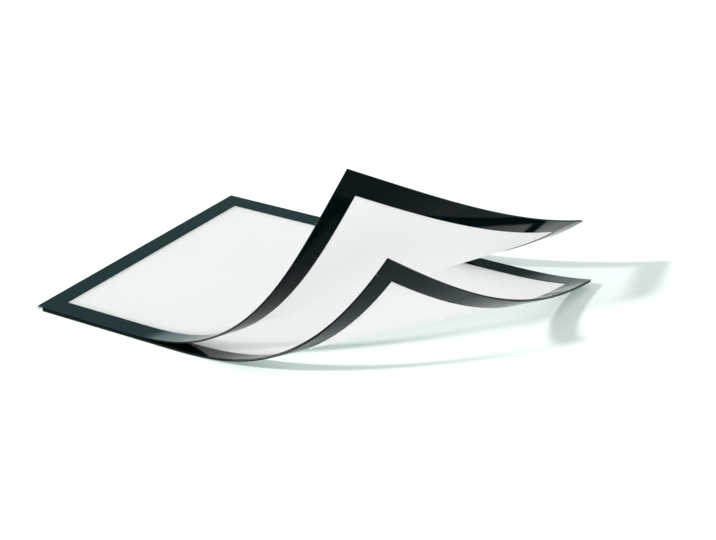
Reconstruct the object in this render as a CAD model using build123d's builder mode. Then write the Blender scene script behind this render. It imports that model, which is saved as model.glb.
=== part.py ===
"""Magnetic picture frame for one A4 sheet: a frosted cover hinged on a frosted back panel by a folded film.

Millimetres. X runs from the hinge edge to the opening edge, Y along the hinge, Z away from the steel surface.
The origin is the centre of the rear face of the magnet strip beside the hinge. Both sheets curl on a cone of
straight lines, so every layer keeps its flat lengths. Right and left strips run the full width, and the near
and far strips butt against them.
"""
import os
from math import atan2, ceil, cos, hypot, radians, sin, tan

from build123d import *

# Sheet that the frame holds
SHEET_LENGTH = 297.0
SHEET_WIDTH = 210.0

# Widths of the strips
BACK_BORDER = 13.0  # strips of the back panel, round the sheet
SHEET_LAP = 2.7  # how far the cover's border reaches over the sheet's edge
HINGE_FREE = 5.0  # film left free of magnets beside the fold
BUTT_GAP = 0.3  # where one strip meets the side of another
COVER_BORDER = BACK_BORDER + SHEET_LAP

# Outside of the frame
FRAME_LENGTH = SHEET_LENGTH + 2 * BACK_BORDER
FRAME_WIDTH = SHEET_WIDTH + 2 * BACK_BORDER

# Thicknesses, from the rear
REAR_MAGNET = 0.7
BACK_FILM = 0.3
BACK_MAGNET = 0.5
CLOSED_GAP = 0.3  # between the closed cover and the back panel
COVER_MAGNET = 0.5
COVER_FILM = 0.3
BORDER_SKIN = 0.25
GLUE = 0.1  # between bonded layers

# Hinge fold
FOLD_LEG = 0.4  # straight film each side of the fold
SKIN_OVERHANG = 0.6  # border skin past the hinge line, over the fold

# Curl of the cover: slope of its middle line, distance of the lines' meeting point, where the turn begins,
# the length over which it turns, and the whole turn
COVER_SLOPE_ANGLE = 22.3
COVER_APEX = 536.0
COVER_START = -46.1
COVER_LENGTH = 237.0
COVER_TURN_ANGLE = 81.2

# Curl of the back panel
BACK_SLOPE_ANGLE = 29.9
BACK_APEX = 1169.0
BACK_START = 18.3
BACK_LENGTH = 228.0
BACK_TURN_ANGLE = 93.6

# Spacing of the points that the curled surfaces pass through
PITCH_LONG = 8.0
PITCH_WIDE = 12.0

# Levels of the layers where the frame lies flat
BACK_FILM_LOW = REAR_MAGNET + GLUE
BACK_FILM_TOP = BACK_FILM_LOW + BACK_FILM
BACK_MAGNET_LOW = BACK_FILM_TOP + GLUE
BACK_MAGNET_TOP = BACK_MAGNET_LOW + BACK_MAGNET
MAGNET_LOW = BACK_MAGNET_TOP + CLOSED_GAP
MAGNET_TOP = MAGNET_LOW + COVER_MAGNET
FILM_LOW = MAGNET_TOP + GLUE
FILM_TOP = FILM_LOW + COVER_FILM
SKIN_LOW = FILM_TOP + GLUE
SKIN_TOP = SKIN_LOW + BORDER_SKIN

# Places in the plane
LEFT = -(HINGE_FREE + BACK_BORDER) / 2
RIGHT = LEFT + FRAME_LENGTH
CENTRE = (LEFT + RIGHT) / 2
FAR = FRAME_WIDTH / 2
NEAR = -FAR
FOLD_OUTER = (FILM_TOP - BACK_FILM_LOW) / 2
FOLD_INNER = (FILM_LOW - BACK_FILM_TOP) / 2
HINGE_X = LEFT + FOLD_OUTER
HINGE_Z = (FILM_TOP + BACK_FILM_LOW) / 2
FILM_START = HINGE_X + FOLD_LEG + GLUE
STRIP_START = LEFT + HINGE_FREE
COVER_IN = LEFT + COVER_BORDER
BACK_IN = LEFT + BACK_BORDER

FAN = 1.0
FAN_STEPS = 800


def turned(first, second, angle):
    """Two directions square to each other, turned in their own plane."""
    c = cos(angle)
    s = sin(angle)
    new_first = [c * a + s * b for a, b in zip(first, second)]
    new_second = [c * b - s * a for a, b in zip(first, second)]
    return new_first, new_second


def curl(bearing, apex, start, length, turn, level):
    """A function that carries a point of the flat sheet, at its height, to the curled sheet."""
    line = (sin(radians(bearing)), cos(radians(bearing)))
    across = (line[1], -line[0])
    step = 2 * FAN / FAN_STEPS

    def turn_at(angle):
        u = min(max((tan(angle) * apex - start) / length, 0.0), 1.0)
        return radians(turn) * u * u * (3 - 2 * u)

    ruling = [cos(FAN), -sin(FAN), 0.0]
    side = [sin(FAN), cos(FAN), 0.0]
    normal = [0.0, 0.0, 1.0]
    frames = [(ruling, normal)]
    for i in range(FAN_STEPS):
        angle = i * step - FAN
        half = (turn_at(angle + step) - turn_at(angle)) / 2
        side, normal = turned(side, normal, half)
        ruling, side = turned(ruling, side, step)
        side, normal = turned(side, normal, half)
        frames.append((ruling, normal))

    def place(x, y, z):
        along_line = (x - CENTRE) * line[0] + y * line[1] + apex
        off_line = (x - CENTRE) * across[0] + y * across[1]
        place_in_fan = (atan2(off_line, along_line) + FAN) / step
        i = min(max(int(place_in_fan), 0), FAN_STEPS - 1)
        w = place_in_fan - i
        e = [a + w * (b - a) for a, b in zip(frames[i][0], frames[i + 1][0])]
        n = [a + w * (b - a) for a, b in zip(frames[i][1], frames[i + 1][1])]
        reach = hypot(along_line, off_line) / hypot(*e)
        height = (z - level) / hypot(*n)
        p = [reach * a + height * b for a, b in zip(e, n)]
        p[0] -= apex
        px = CENTRE + p[0] * line[0] + p[1] * across[0]
        py = p[0] * line[1] + p[1] * across[1]
        return Vector(px, py, level + p[2])

    return place


cover_curl = curl(COVER_SLOPE_ANGLE, COVER_APEX, COVER_START, COVER_LENGTH, COVER_TURN_ANGLE, FILM_LOW)
back_curl = curl(BACK_SLOPE_ANGLE, BACK_APEX, BACK_START, BACK_LENGTH, BACK_TURN_ANGLE, BACK_FILM_LOW)


def spread(low, high, pitch, least):
    """Evenly spaced values from low to high."""
    steps = max(least, ceil((high - low) / pitch))
    return [low + (high - low) * i / steps for i in range(steps + 1)]


def curled_plate(place, x_low, x_high, y_low, y_high, z_low, z_high):
    """A rectangular layer that follows a curl: a skin through its cross sections, with a ruled face at each end."""
    sections = []
    caps = []
    stations = spread(x_low, x_high, PITCH_LONG, 3)
    for x in stations:
        ys = spread(y_low, y_high, PITCH_WIDE, 4)
        under = Edge.make_spline([place(x, y, z_low) for y in ys])
        over = Edge.make_spline([place(x, y, z_high) for y in ys])
        first = Edge.make_line(place(x, y_low, z_low), place(x, y_low, z_high))
        last = Edge.make_line(place(x, y_high, z_low), place(x, y_high, z_high))
        sections.append(Wire([under, last, over, first]))
        if x in (stations[0], stations[-1]):
            caps.append(Face.make_surface_from_curves(under, over))
    skin = Solid.make_loft(sections).faces()
    sides = [f for f in skin if all((f.center() - c.center()).length > GLUE for c in caps)]
    return Solid(Shell(sides + caps))


def flat_plate(x_low, x_high, y_low, y_high, z_low, z_high):
    """A plain rectangular layer, for the strips beside the hinge, which lie flat."""
    with BuildPart() as plate:
        with BuildSketch(Plane.XY.offset(z_low)):
            with Locations(((x_low + x_high) / 2, (y_low + y_high) / 2)):
                Rectangle(x_high - x_low, y_high - y_low)
        extrude(amount=z_high - z_low)
    return plate.part


os.makedirs("parts", exist_ok=True)

# Back panel: rear magnets, which hold the frame to steel
with BuildPart() as rear_magnet_left:
    add(flat_plate(STRIP_START, BACK_IN, NEAR, FAR, 0, REAR_MAGNET))
rear_magnet_left.part.label = "rear_magnet_left"
export_step(rear_magnet_left.part, "parts/rear_magnet_left.step")

with BuildPart() as rear_magnet_right:
    add(curled_plate(back_curl, RIGHT - BACK_BORDER, RIGHT, NEAR, FAR, 0, REAR_MAGNET))
rear_magnet_right.part.label = "rear_magnet_right"
export_step(rear_magnet_right.part, "parts/rear_magnet_right.step")

with BuildPart() as rear_magnet_near:
    add(curled_plate(back_curl, BACK_IN + BUTT_GAP, RIGHT - BACK_BORDER - BUTT_GAP,
                     NEAR, NEAR + BACK_BORDER, 0, REAR_MAGNET))
rear_magnet_near.part.label = "rear_magnet_near"
export_step(rear_magnet_near.part, "parts/rear_magnet_near.step")

with BuildPart() as rear_magnet_far:
    add(curled_plate(back_curl, BACK_IN + BUTT_GAP, RIGHT - BACK_BORDER - BUTT_GAP,
                     FAR - BACK_BORDER, FAR, 0, REAR_MAGNET))
rear_magnet_far.part.label = "rear_magnet_far"
export_step(rear_magnet_far.part, "parts/rear_magnet_far.step")

# Back panel: frosted film
with BuildPart() as back_film:
    add(curled_plate(back_curl, FILM_START, RIGHT, NEAR, FAR, BACK_FILM_LOW, BACK_FILM_TOP))
back_film.part.label = "back_film"
export_step(back_film.part, "parts/back_film.step")

# Back panel: upper magnets, which draw the cover shut
with BuildPart() as back_magnet_left:
    add(flat_plate(STRIP_START, BACK_IN, NEAR, FAR, BACK_MAGNET_LOW, BACK_MAGNET_TOP))
back_magnet_left.part.label = "back_magnet_left"
export_step(back_magnet_left.part, "parts/back_magnet_left.step")

with BuildPart() as back_magnet_right:
    add(curled_plate(back_curl, RIGHT - BACK_BORDER, RIGHT, NEAR, FAR, BACK_MAGNET_LOW, BACK_MAGNET_TOP))
back_magnet_right.part.label = "back_magnet_right"
export_step(back_magnet_right.part, "parts/back_magnet_right.step")

with BuildPart() as back_magnet_near:
    add(curled_plate(back_curl, BACK_IN + BUTT_GAP, RIGHT - BACK_BORDER - BUTT_GAP,
                     NEAR, NEAR + BACK_BORDER, BACK_MAGNET_LOW, BACK_MAGNET_TOP))
back_magnet_near.part.label = "back_magnet_near"
export_step(back_magnet_near.part, "parts/back_magnet_near.step")

with BuildPart() as back_magnet_far:
    add(curled_plate(back_curl, BACK_IN + BUTT_GAP, RIGHT - BACK_BORDER - BUTT_GAP,
                     FAR - BACK_BORDER, FAR, BACK_MAGNET_LOW, BACK_MAGNET_TOP))
back_magnet_far.part.label = "back_magnet_far"
export_step(back_magnet_far.part, "parts/back_magnet_far.step")

# Hinge: the film folded round between the two sheets
with BuildPart() as hinge_fold:
    with BuildSketch(Plane.XZ):
        with Locations((HINGE_X, HINGE_Z)):
            Circle(FOLD_OUTER)
            Circle(FOLD_INNER, mode=Mode.SUBTRACT)
        with Locations((HINGE_X + FOLD_OUTER, HINGE_Z)):
            Rectangle(2 * FOLD_OUTER, 2 * FOLD_OUTER, mode=Mode.SUBTRACT)
        for z in (HINGE_Z - FOLD_OUTER, HINGE_Z + FOLD_INNER):
            with Locations((HINGE_X, z)):
                Rectangle(FOLD_LEG, FOLD_OUTER - FOLD_INNER, align=(Align.MIN, Align.MIN))
    extrude(amount=FRAME_WIDTH / 2, both=True)
hinge_fold.part.label = "hinge_fold"
export_step(hinge_fold.part, "parts/hinge_fold.step")

# Cover: magnets on the inner side
with BuildPart() as front_magnet_left:
    add(flat_plate(STRIP_START, COVER_IN, NEAR, FAR, MAGNET_LOW, MAGNET_TOP))
front_magnet_left.part.label = "front_magnet_left"
export_step(front_magnet_left.part, "parts/front_magnet_left.step")

with BuildPart() as front_magnet_right:
    add(curled_plate(cover_curl, RIGHT - COVER_BORDER, RIGHT, NEAR, FAR, MAGNET_LOW, MAGNET_TOP))
front_magnet_right.part.label = "front_magnet_right"
export_step(front_magnet_right.part, "parts/front_magnet_right.step")

with BuildPart() as front_magnet_near:
    add(curled_plate(cover_curl, COVER_IN + BUTT_GAP, RIGHT - COVER_BORDER - BUTT_GAP,
                     NEAR, NEAR + COVER_BORDER, MAGNET_LOW, MAGNET_TOP))
front_magnet_near.part.label = "front_magnet_near"
export_step(front_magnet_near.part, "parts/front_magnet_near.step")

with BuildPart() as front_magnet_far:
    add(curled_plate(cover_curl, COVER_IN + BUTT_GAP, RIGHT - COVER_BORDER - BUTT_GAP,
                     FAR - COVER_BORDER, FAR, MAGNET_LOW, MAGNET_TOP))
front_magnet_far.part.label = "front_magnet_far"
export_step(front_magnet_far.part, "parts/front_magnet_far.step")

# Cover: frosted film
with BuildPart() as front_film:
    add(curled_plate(cover_curl, FILM_START, RIGHT, NEAR, FAR, FILM_LOW, FILM_TOP))
front_film.part.label = "front_film"
export_step(front_film.part, "parts/front_film.step")

# Cover: black border on the outer side
with BuildPart() as front_border_left:
    add(flat_plate(HINGE_X - SKIN_OVERHANG, COVER_IN, NEAR, FAR, SKIN_LOW, SKIN_TOP))
front_border_left.part.label = "front_border_left"
export_step(front_border_left.part, "parts/front_border_left.step")

with BuildPart() as front_border_right:
    add(curled_plate(cover_curl, RIGHT - COVER_BORDER, RIGHT, NEAR, FAR, SKIN_LOW, SKIN_TOP))
front_border_right.part.label = "front_border_right"
export_step(front_border_right.part, "parts/front_border_right.step")

with BuildPart() as front_border_near:
    add(curled_plate(cover_curl, COVER_IN + BUTT_GAP, RIGHT - COVER_BORDER - BUTT_GAP,
                     NEAR, NEAR + COVER_BORDER, SKIN_LOW, SKIN_TOP))
front_border_near.part.label = "front_border_near"
export_step(front_border_near.part, "parts/front_border_near.step")

with BuildPart() as front_border_far:
    add(curled_plate(cover_curl, COVER_IN + BUTT_GAP, RIGHT - COVER_BORDER - BUTT_GAP,
                     FAR - COVER_BORDER, FAR, SKIN_LOW, SKIN_TOP))
front_border_far.part.label = "front_border_far"
export_step(front_border_far.part, "parts/front_border_far.step")

PIECES = [rear_magnet_left, rear_magnet_right, rear_magnet_near, rear_magnet_far, back_film,
          back_magnet_left, back_magnet_right, back_magnet_near, back_magnet_far, hinge_fold,
          front_magnet_left, front_magnet_right, front_magnet_near, front_magnet_far, front_film,
          front_border_left, front_border_right, front_border_near, front_border_far]
for piece in PIECES:
    solid = piece.part
    print(solid.label, "valid", solid.is_valid, "solids", len(solid.solids()), "volume", round(solid.volume, 1))
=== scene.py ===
"""Looks of the magnetic photo frame: fine curled layers round the CAD frame, floor, light and camera."""

import math

import bpy
import numpy as np
from mathutils import Matrix


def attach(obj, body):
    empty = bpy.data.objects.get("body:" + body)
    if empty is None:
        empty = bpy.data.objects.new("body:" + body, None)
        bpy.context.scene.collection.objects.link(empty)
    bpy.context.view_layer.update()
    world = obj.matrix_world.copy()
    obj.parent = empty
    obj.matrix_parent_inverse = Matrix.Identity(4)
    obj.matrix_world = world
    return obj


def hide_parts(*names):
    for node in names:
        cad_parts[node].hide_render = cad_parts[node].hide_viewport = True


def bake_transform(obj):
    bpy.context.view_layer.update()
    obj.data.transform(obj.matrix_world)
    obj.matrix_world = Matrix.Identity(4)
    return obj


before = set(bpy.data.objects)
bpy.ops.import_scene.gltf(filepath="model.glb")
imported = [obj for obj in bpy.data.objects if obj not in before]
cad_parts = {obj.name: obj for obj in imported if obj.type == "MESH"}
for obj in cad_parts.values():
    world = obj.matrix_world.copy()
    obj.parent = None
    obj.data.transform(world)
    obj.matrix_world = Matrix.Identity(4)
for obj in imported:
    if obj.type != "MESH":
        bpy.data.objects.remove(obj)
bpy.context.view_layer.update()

MM = 0.001

# Sizes in millimetres, as in the part's source
SHEET_LENGTH = 297.0
SHEET_WIDTH = 210.0
BACK_BORDER = 13.0
SHEET_LAP = 2.7
HINGE_FREE = 5.0
BUTT_GAP = 0.3
GLUE = 0.1
FOLD_LEG = 0.4
SKIN_OVERHANG = 0.6
COVER_BORDER = BACK_BORDER + SHEET_LAP
FRAME_LENGTH = SHEET_LENGTH + 2 * BACK_BORDER
FRAME_WIDTH = SHEET_WIDTH + 2 * BACK_BORDER

# Levels of the layers where the frame lies flat
REAR = (0.0, 0.7)
BACK_FILM = (0.8, 1.1)
BACK_MAGNET = (1.2, 1.7)
MAGNET = (2.0, 2.5)
FILM = (2.6, 2.9)
SKIN = (3.0, 3.25)

# Places in the plane
LEFT = -(HINGE_FREE + BACK_BORDER) / 2
RIGHT = LEFT + FRAME_LENGTH
CENTRE = (LEFT + RIGHT) / 2
FAR = FRAME_WIDTH / 2
NEAR = -FAR
FOLD_OUTER = (FILM[1] - BACK_FILM[0]) / 2
FOLD_INNER = (FILM[0] - BACK_FILM[1]) / 2
HINGE_X = LEFT + FOLD_OUTER
HINGE_Z = (FILM[1] + BACK_FILM[0]) / 2
FILM_START = HINGE_X + FOLD_LEG + GLUE
SKIN_START = HINGE_X - SKIN_OVERHANG
STRIP_START = LEFT + HINGE_FREE

# Fine form that only the looks have
EDGE = 0.08  # radius of the layers' edges
EDGE_MIDDLE = 0.3  # where a rounded edge has its middle line, as a share of the radius
PITCH = 2.5  # of the meshes' lines
LEAST_CELLS = 3  # across a narrow layer
COVER_LAP = 0.6  # the cover's strips run into each other, so that no joint shows
LAP_STEP = 0.004  # the near and far strips of the cover are this much thinner at each face
FILM_SETBACK = 1.0  # the films end inside the strips' edges
FOLD_ARC_POINTS = 25
FOLD_ROWS = 60

# Half angle and steps of the fan of straight lines that a curl is worked out on
FAN = 1.0
FAN_STEPS = 1600


def turned(first, second, angle):
    """Two directions square to each other, turned in their own plane."""
    c = math.cos(angle)
    s = math.sin(angle)
    return c * first + s * second, c * second - s * first


def curl(slope, apex, start, length, turn, level):
    """A function that carries points of the flat sheet to the curled one, whose lines meet at an apex."""
    line = np.array([math.sin(math.radians(slope)), math.cos(math.radians(slope))])
    across = np.array([line[1], -line[0]])
    fan = np.linspace(-FAN, FAN, FAN_STEPS + 1)
    step = fan[1] - fan[0]
    u = np.clip((np.tan(fan) * apex - start) / length, 0, 1)
    halves = np.diff(math.radians(turn) * u * u * (3 - 2 * u)) / 2
    ruling = np.array([math.cos(FAN), -math.sin(FAN), 0.0])
    side = np.array([math.sin(FAN), math.cos(FAN), 0.0])
    normal = np.array([0.0, 0.0, 1.0])
    rulings = [ruling]
    normals = [normal]
    for half in halves:
        side, normal = turned(side, normal, half)
        ruling, side = turned(ruling, side, step)
        side, normal = turned(side, normal, half)
        rulings.append(ruling)
        normals.append(normal)
    rulings = np.array(rulings)
    normals = np.array(normals)

    def place(x, y, z):
        along = (x - CENTRE) * line[0] + y * line[1] + apex
        off = (x - CENTRE) * across[0] + y * across[1]
        angle = np.arctan2(off, along)
        e = np.stack([np.interp(angle, fan, rulings[:, k]) for k in range(3)], -1)
        n = np.stack([np.interp(angle, fan, normals[:, k]) for k in range(3)], -1)
        p = e * np.hypot(along, off)[..., None] + n * (z - level)[..., None]
        a = p[..., 0] - apex
        b = p[..., 1]
        px = CENTRE + a * line[0] + b * across[0]
        py = a * line[1] + b * across[1]
        return np.stack([px, py, level + p[..., 2]], -1)

    return place


cover_curl = curl(slope=22.3, apex=536.0, start=-46.1, length=237.0, turn=81.2, level=FILM[0])
back_curl = curl(slope=29.9, apex=1169.0, start=18.3, length=228.0, turn=93.6, level=BACK_FILM[0])


def lines(low, high):
    """Mesh lines from low to high, close at both ends for the rounded edge, and how far each is inset."""
    cells = max(LEAST_CELLS, math.ceil((high - low) / PITCH))
    inner = np.linspace(low + 2 * EDGE, high - 2 * EDGE, cells + 1)
    ends = EDGE * np.array([0.0, EDGE_MIDDLE, 1.0])
    values = np.concatenate([low + ends, inner, (high - ends)[::-1]])
    depth = np.clip(np.minimum(values - low, high - values) / EDGE, 0, 1)
    inset = EDGE * (1 - np.sqrt(1 - (1 - depth) ** 2))
    return values, inset


def new_object(name, vertices, faces, smooth=True):
    """A mesh object from vertices in millimetres."""
    mesh = bpy.data.meshes.new(name)
    mesh.from_pydata((np.asarray(vertices) * MM).tolist(), [], faces)
    mesh.update()
    if smooth:
        mesh.polygons.foreach_set("use_smooth", [True] * len(mesh.polygons))
    obj = bpy.data.objects.new(name, mesh)
    bpy.context.scene.collection.objects.link(obj)
    return obj


def plate(name, place, x_low, x_high, y_low, y_high, level):
    """A thin layer with rounded edges that follows a curl."""
    xs, x_inset = lines(x_low, x_high)
    ys, y_inset = lines(y_low, y_high)
    inset = np.maximum(x_inset[:, None], y_inset[None, :])
    x, y = np.meshgrid(xs, ys, indexing="ij")
    top = place(x, y, level[1] - inset).reshape(-1, 3)
    low = place(x, y, level[0] + inset).reshape(-1, 3)
    nx = len(xs)
    ny = len(ys)
    count = nx * ny
    faces = []
    for i in range(nx - 1):
        for j in range(ny - 1):
            a = i * ny + j
            quad = (a, a + ny, a + ny + 1, a + 1)
            faces.append(quad)
            faces.append(tuple(count + k for k in reversed(quad)))
    rim = [i * ny for i in range(nx)]
    rim += [(nx - 1) * ny + j for j in range(1, ny)]
    rim += [i * ny + ny - 1 for i in range(nx - 2, -1, -1)]
    rim += [j for j in range(ny - 2, 0, -1)]
    for a, b in zip(rim, rim[1:] + rim[:1]):
        faces.append((a, count + a, count + b, b))
    return new_object(name, np.concatenate([top, low]), faces)


# Materials: the two colours and the two roughnesses between which each surface varies
SKIN_COLOURS = ((0.002, 0.0035, 0.004, 1), (0.003, 0.005, 0.0055, 1))
SKIN_ROUGHNESS = (0.06, 0.1)
RUBBER_COLOURS = ((0.0004, 0.004, 0.005, 1), (0.0008, 0.0055, 0.0065, 1))
RUBBER_ROUGHNESS = (0.06, 0.11)
FILM_COLOURS = ((0.978, 0.987, 0.985, 1), (0.986, 0.995, 0.993, 1))
FILM_ROUGHNESS = (0.4, 0.5)
FILM_THROUGH = (0.986, 0.994, 0.992, 1)  # tint of the light that goes through a film
FILM_GLOSS = 0.2
FOLD_COLOURS = ((0.6, 0.68, 0.66, 1), (0.72, 0.79, 0.77, 1))
FOLD_ROUGHNESS = (0.12, 0.22)
FOLD_ALPHA = 0.6
SKIN_GLOSS = 1.0
GLOSS_TINT = (0.62, 0.86, 1.0, 1)  # of the black pieces' reflections
GRAIN_DEPTH = 0.0002
GRAIN_DETAIL = 3.0
VARIED_DETAIL = 4.0
VARIED_FROM = 0.3  # noise values at which a surface reaches its two ends
VARIED_TO = 0.7


def grey(v):
    return (v, v, v, 1.0)


def node_maker(tree):
    """A function that adds a node to a tree and sets its inputs and its own settings."""

    def node(kind, **values):
        made = tree.nodes.new(kind)
        for key, value in values.items():
            if key in made.inputs:
                made.inputs[key].default_value = value
            else:
                setattr(made, key, value)
        return made

    return node


def material(name):
    """A new material, its node tree, its shader and a function that adds nodes."""
    mat = bpy.data.materials.new(name)
    mat.use_nodes = True
    tree = mat.node_tree
    return mat, tree, tree.nodes["Principled BSDF"], node_maker(tree)


def grain(tree, shader, node, scale, strength):
    """Fine surface grain through a bump node. Returns the coordinates that it uses."""
    coords = node("ShaderNodeTexCoord")
    noise = node("ShaderNodeTexNoise", Scale=scale, Detail=GRAIN_DETAIL)
    bump = node("ShaderNodeBump", Strength=strength, Distance=GRAIN_DEPTH)
    tree.links.new(coords.outputs["Object"], noise.inputs["Vector"])
    tree.links.new(noise.outputs["Fac"], bump.inputs["Height"])
    tree.links.new(bump.outputs["Normal"], shader.inputs["Normal"])
    return coords


def varied(tree, node, coords, socket, scale, low, high):
    """Let a shader's socket vary with broad noise between two colours."""
    noise = node("ShaderNodeTexNoise", Scale=scale, Detail=VARIED_DETAIL)
    tree.links.new(coords.outputs["Object"], noise.inputs["Vector"])
    ramp = node("ShaderNodeValToRGB")
    first, last = ramp.color_ramp.elements
    first.position = VARIED_FROM
    last.position = VARIED_TO
    first.color = low
    last.color = high
    tree.links.new(noise.outputs["Fac"], ramp.inputs["Fac"])
    tree.links.new(ramp.outputs["Color"], socket)


def skin_material():
    """Glossy black plastic of the cover's border."""
    mat, tree, shader, node = material("border_skin")
    coords = grain(tree, shader, node, scale=900.0, strength=0.015)
    varied(tree, node, coords, shader.inputs["Base Color"], 60.0, *SKIN_COLOURS)
    varied(tree, node, coords, shader.inputs["Roughness"], 25.0, *map(grey, SKIN_ROUGHNESS))
    shader.inputs["Specular IOR Level"].default_value = SKIN_GLOSS
    shader.inputs["Specular Tint"].default_value = GLOSS_TINT
    return mat


def magnet_material(name, gloss, facing):
    """Black rubber whose reflection is weak face on and grows at a flat angle."""
    mat, tree, shader, node = material(name)
    coords = grain(tree, shader, node, scale=2500.0, strength=0.015)
    varied(tree, node, coords, shader.inputs["Base Color"], 400.0, *RUBBER_COLOURS)
    varied(tree, node, coords, shader.inputs["Roughness"], 30.0, *map(grey, RUBBER_ROUGHNESS))
    shader.inputs["Specular IOR Level"].default_value = gloss
    shader.inputs["Specular Tint"].default_value = (*(facing * v for v in GLOSS_TINT[:3]), 1)
    return mat


def frosted_material(name, through):
    """Milky film: part of the light is turned back at the surface and part goes through, spread."""
    mat, tree, shader, node = material(name)
    coords = grain(tree, shader, node, scale=700.0, strength=0.03)
    varied(tree, node, coords, shader.inputs["Base Color"], 12.0, *FILM_COLOURS)
    varied(tree, node, coords, shader.inputs["Roughness"], 20.0, *map(grey, FILM_ROUGHNESS))
    shader.inputs["Specular IOR Level"].default_value = FILM_GLOSS
    glow = node("ShaderNodeBsdfTranslucent", Color=FILM_THROUGH)
    mix = node("ShaderNodeMixShader", Fac=through)
    out = tree.nodes["Material Output"]
    tree.links.new(shader.outputs["BSDF"], mix.inputs[1])
    tree.links.new(glow.outputs["BSDF"], mix.inputs[2])
    tree.links.new(mix.outputs["Shader"], out.inputs["Surface"])
    return mat


def fold_material():
    """Clear film of the hinge."""
    mat, tree, shader, node = material("fold_film")
    coords = grain(tree, shader, node, scale=200.0, strength=0.05)
    varied(tree, node, coords, shader.inputs["Base Color"], 40.0, *FOLD_COLOURS)
    varied(tree, node, coords, shader.inputs["Roughness"], 30.0, *map(grey, FOLD_ROUGHNESS))
    shader.inputs["Alpha"].default_value = FOLD_ALPHA
    return mat


SKIN_MATERIAL = skin_material()
MAGNET_MATERIAL = magnet_material("magnet_rubber", gloss=0.22, facing=0.0)
INNER_MATERIAL = magnet_material("inner_rubber", gloss=0.5, facing=0.1)
REAR_MATERIAL = magnet_material("rear_rubber", gloss=0.5, facing=0.3)
COVER_FILM_MATERIAL = frosted_material("frosted_film", through=0.62)
BACK_FILM_MATERIAL = frosted_material("back_frosted_film", through=0.36)


def dress(obj, body, node, mat):
    """Give a piece its material, and let it ride on a body and stand for a CAD node."""
    obj.data.materials.append(mat)
    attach(obj, body)
    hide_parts(node)


strip_pieces = []


def strips(group, label, place, width, level, start, gap, body, mat):
    """Four strips round a sheet: the left and right ones full width, the near and far ones between them."""
    ends = (LEFT + width + gap, RIGHT - width - gap)
    spans = {
        "left": (start, LEFT + width, NEAR, FAR),
        "right": (RIGHT - width, RIGHT, NEAR, FAR),
        "near": (*ends, NEAR, NEAR + width),
        "far": (*ends, FAR - width, FAR),
    }
    tuck = LAP_STEP if gap < 0 else 0.0
    tucked = (level[0] + tuck, level[1] - tuck)
    levels = {"left": level, "right": level, "near": tucked, "far": tucked}
    for side, span in spans.items():
        obj = plate(f"{label}_{side}", place, *span, levels[side])
        dress(obj, body, f"{group}_{side}", mat)
        strip_pieces.append(obj)


strips("rear_magnet", "rear_strip", back_curl, BACK_BORDER, REAR, STRIP_START, BUTT_GAP,
       "back_panel", REAR_MATERIAL)
strips("back_magnet", "inner_strip", back_curl, BACK_BORDER, BACK_MAGNET, STRIP_START, BUTT_GAP,
       "back_panel", INNER_MATERIAL)
strips("front_magnet", "cover_strip", cover_curl, COVER_BORDER, MAGNET, STRIP_START, -COVER_LAP,
       "front_cover", MAGNET_MATERIAL)
strips("front_border", "cover_border", cover_curl, COVER_BORDER, SKIN, SKIN_START, -COVER_LAP,
       "front_cover", SKIN_MATERIAL)

film_span = (FILM_START, RIGHT - FILM_SETBACK, NEAR + FILM_SETBACK, FAR - FILM_SETBACK)
back_sheet = plate("back_sheet", back_curl, *film_span, BACK_FILM)
dress(back_sheet, "back_panel", "back_film", BACK_FILM_MATERIAL)
window = plate("window_film", cover_curl, *film_span, FILM)
dress(window, "front_cover", "front_film", COVER_FILM_MATERIAL)


def fold_piece():
    """The film folded round between the sheets: a U across the hinge edge, straight along it."""
    arc = np.radians(np.linspace(270, 90, FOLD_ARC_POINTS))
    mid = (FOLD_OUTER + FOLD_INNER) / 2
    half = (FOLD_OUTER - FOLD_INNER) / 2
    path = [(HINGE_X + FOLD_LEG, HINGE_Z - mid, 0.0, -1.0)]
    for a in arc:
        c = math.cos(a)
        s = math.sin(a)
        path.append((HINGE_X + mid * c, HINGE_Z + mid * s, c, s))
    path.append((HINGE_X + FOLD_LEG, HINGE_Z + mid, 0.0, 1.0))
    outer = [(x + half * nx, z + half * nz) for x, z, nx, nz in path]
    inner = [(x - half * nx, z - half * nz) for x, z, nx, nz in path]
    profile = outer + inner[::-1]
    ys = np.linspace(NEAR, FAR, FOLD_ROWS)
    n = len(profile)
    vertices = [(x, y, z) for y in ys for x, z in profile]
    faces = []
    for k in range(len(ys) - 1):
        for i in range(n):
            a = k * n + i
            b = k * n + (i + 1) % n
            faces.append((a, b, b + n, a + n))
    last = (len(ys) - 1) * n
    for i in range(len(path) - 1):
        quad = (i, i + 1, n - 2 - i, n - 1 - i)
        faces.append(tuple(reversed(quad)))
        faces.append(tuple(last + k for k in quad))
    return new_object("hinge_film", vertices, faces)


fold = fold_piece()
fold.data.materials.append(fold_material())
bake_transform(fold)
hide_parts("hinge_fold")

# Camera, fitted to the edges in the photo: angles in degrees, places in the picture in pixels
CAMERA_AZIMUTH = 34.701
CAMERA_ELEVATION = 25.832
CAMERA_ROLL = -1.678
CAMERA_DISTANCE = 1442.99
IMAGE_WIDTH = 716.0
IMAGE_HEIGHT = 540.0
FOCAL_LENGTH = 2000.0
AXIS_X = 315.044
AXIS_Y = 298.414
SENSOR_WIDTH = 36.0
CLIP_START = 0.05
CLIP_END = 50.0


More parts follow.
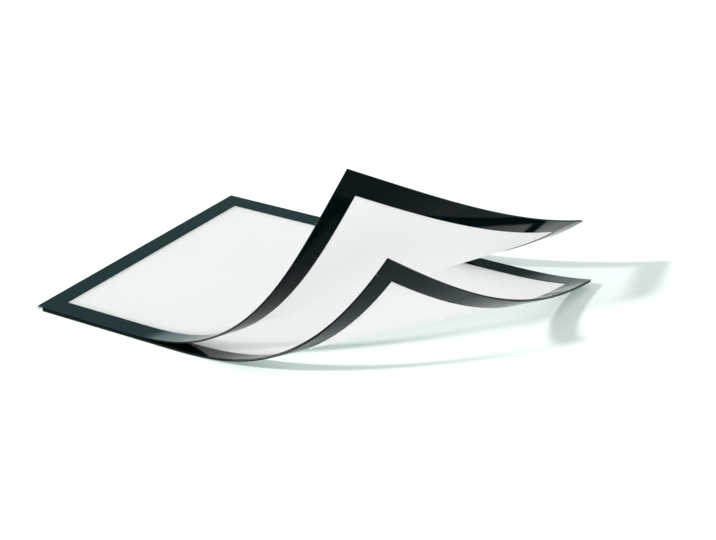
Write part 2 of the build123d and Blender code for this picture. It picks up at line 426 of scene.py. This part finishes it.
def aim_camera():
    data = bpy.data.cameras.new("camera")
    cam = bpy.data.objects.new("camera", data)
    bpy.context.scene.collection.objects.link(cam)
    bpy.context.scene.camera = cam
    azimuth = math.radians(CAMERA_AZIMUTH)
    elevation = math.radians(CAMERA_ELEVATION)
    roll = math.radians(CAMERA_ROLL)
    back = np.array([math.sin(azimuth) * math.cos(elevation),
                     -math.cos(azimuth) * math.cos(elevation),
                     math.sin(elevation)])
    level = np.array([math.cos(azimuth), math.sin(azimuth), 0.0])
    up = np.cross(back, level)
    right = level * math.cos(roll) + up * math.sin(roll)
    up = np.cross(back, right)
    place = (np.array([CENTRE, 0.0, 0.0]) + back * CAMERA_DISTANCE) * MM
    rows = [[right[k], up[k], back[k], place[k]] for k in range(3)]
    cam.matrix_world = Matrix(rows + [[0, 0, 0, 1]])
    data.sensor_width = SENSOR_WIDTH
    data.lens = FOCAL_LENGTH / IMAGE_WIDTH * SENSOR_WIDTH
    data.shift_x = (IMAGE_WIDTH / 2 - AXIS_X) / IMAGE_WIDTH
    data.shift_y = (AXIS_Y - IMAGE_HEIGHT / 2) / IMAGE_WIDTH
    data.clip_start = CLIP_START
    data.clip_end = CLIP_END


aim_camera()

# Room and floor
FILL = 1.02  # light from the whole room
WALL_TOP = 0.29  # sine of the height up to which the room is seen white
CEILING_START = 0.37  # sine of the height from which its ceiling is seen
CEILING = (0.165, 0.245, 0.24, 1)
ROOM_CAST = (0.82, 1.0, 0.99, 1)  # tint of the room in reflections
FLOOR_HALF = 6000.0
FLOOR_LEVEL = -0.3
FLOOR_COLOUR = (0.44, 0.45, 0.447, 1)
FLOOR_ROUGHNESS = 0.9
FLOOR_LIFT = 0.31  # added to the floor where it is seen
FLOOR_LIFT_COLOUR = (0.74, 1.0, 0.94, 1)

# Lamp at the front left, as strengths on different pieces
KEY = 0.2  # on the whole object
BACK_KEY = 1.12  # on the back film, through the cover film
FLOOR_KEY = 6.7  # on the floor
WINDOW_PASSES = 0.55  # share of the floor's light that the cover film lets through
BACK_STOPS = 0.1  # share of it that the back film stops
KEY_FROM = (-0.85, -1.41, 1.0)
KEY_SPREAD = 4.5


def seen_by(tree, node):
    """1 for camera, glossy and transmission rays, and 0 for rays that a surface has spread."""
    path = node("ShaderNodeLightPath")
    first = node("ShaderNodeMath", operation="MAXIMUM")
    second = node("ShaderNodeMath", operation="MAXIMUM")
    sharp = node("ShaderNodeMath", operation="SUBTRACT", use_clamp=True)
    tree.links.new(path.outputs["Is Camera Ray"], first.inputs[0])
    tree.links.new(path.outputs["Is Glossy Ray"], first.inputs[1])
    tree.links.new(first.outputs[0], second.inputs[0])
    tree.links.new(path.outputs["Is Transmission Ray"], second.inputs[1])
    tree.links.new(second.outputs[0], sharp.inputs[0])
    tree.links.new(path.outputs["Is Diffuse Ray"], sharp.inputs[1])
    return sharp.outputs[0]


def make_floor():
    """A plain floor just below the frame, which keeps the shadows."""
    corners = [(-FLOOR_HALF, -FLOOR_HALF), (FLOOR_HALF, -FLOOR_HALF),
               (FLOOR_HALF, FLOOR_HALF), (-FLOOR_HALF, FLOOR_HALF)]
    floor = new_object("floor", [(x, y, FLOOR_LEVEL) for x, y in corners], [(0, 1, 2, 3)], smooth=False)
    mat, tree, shader, node = material("floor")
    shader.inputs["Base Color"].default_value = FLOOR_COLOUR
    shader.inputs["Roughness"].default_value = FLOOR_ROUGHNESS
    shader.inputs["Specular IOR Level"].default_value = 0.0
    shader.inputs["Emission Color"].default_value = FLOOR_LIFT_COLOUR
    lift = node("ShaderNodeMath", operation="MULTIPLY")
    tree.links.new(seen_by(tree, node), lift.inputs[0])
    lift.inputs[1].default_value = FLOOR_LIFT
    tree.links.new(lift.outputs[0], shader.inputs["Emission Strength"])
    floor.data.materials.append(mat)
    return floor


ground = make_floor()


def make_world():
    """Even light from all round, and a room with white walls and a dark ceiling where it is seen."""
    world = bpy.data.worlds.new("studio")
    bpy.context.scene.world = world
    world.use_nodes = True
    tree = world.node_tree
    node = node_maker(tree)
    back = tree.nodes["Background"]
    coords = node("ShaderNodeTexCoord")
    split = node("ShaderNodeSeparateXYZ")
    ramp = node("ShaderNodeValToRGB")
    tree.links.new(coords.outputs["Generated"], split.inputs["Vector"])
    tree.links.new(split.outputs["Z"], ramp.inputs["Fac"])
    low, high = ramp.color_ramp.elements
    low.position = WALL_TOP
    low.color = grey(1.0)
    high.position = CEILING_START
    high.color = CEILING
    path = node("ShaderNodeLightPath")
    cast = node("ShaderNodeMix", data_type="RGBA", blend_type="MULTIPLY")
    tree.links.new(path.outputs["Is Glossy Ray"], cast.inputs["Factor"])
    tree.links.new(ramp.outputs["Color"], cast.inputs["A"])
    cast.inputs["B"].default_value = ROOM_CAST
    mix = node("ShaderNodeMix", data_type="RGBA")
    tree.links.new(seen_by(tree, node), mix.inputs["Factor"])
    mix.inputs["A"].default_value = grey(FILL)
    tree.links.new(cast.outputs["Result"], mix.inputs["B"])
    tree.links.new(mix.outputs["Result"], back.inputs["Color"])


make_world()


def group_of(name, pieces):
    """A collection that names pieces for a lamp."""
    group = bpy.data.collections.new(name)
    for piece in pieces:
        group.objects.link(piece)
    return group


def make_key(name, strength, lit, shading):
    """A small distant lamp for some pieces, and the pieces whose shadows fall on them."""
    data = bpy.data.lights.new(name, "SUN")
    data.energy = strength
    data.angle = math.radians(KEY_SPREAD)
    obj = bpy.data.objects.new(name, data)
    bpy.context.scene.collection.objects.link(obj)
    z = np.array(KEY_FROM) / np.linalg.norm(KEY_FROM)
    x = np.cross([0, 0, 1], z)
    x /= np.linalg.norm(x)
    y = np.cross(z, x)
    obj.matrix_world = Matrix([[x[k], y[k], z[k], z[k]] for k in range(3)] + [[0, 0, 0, 1]])
    obj.light_linking.receiver_collection = group_of(name + "_lit", lit)
    obj.light_linking.blocker_collection = group_of(name + "_shading", shading)
    return obj


solid_pieces = strip_pieces + [fold]
every_piece = solid_pieces + [window, back_sheet]
make_key("key", KEY, every_piece, every_piece)

# Light that the cover film lets through to the back film: it turns with the cover and ends at the floor,
# and half of it reaches into the strips' shadows
for name, shading in (("back_key", solid_pieces), ("back_key_through", [])):
    back_key = make_key(name, BACK_KEY / 2, [back_sheet], shading + [ground])
    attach(back_key, "front_cover")

# Light on the floor, in shares: strips stop all three, the cover film the last two, the back film the last
make_key("floor_key_through", FLOOR_KEY * WINDOW_PASSES, [ground], solid_pieces)
make_key("floor_key_behind", FLOOR_KEY * (1 - WINDOW_PASSES - BACK_STOPS), [ground], solid_pieces + [window])
make_key("floor_key", FLOOR_KEY * BACK_STOPS, [ground], solid_pieces + [window, back_sheet])

scene = bpy.context.scene
scene.view_settings.view_transform = "Standard"
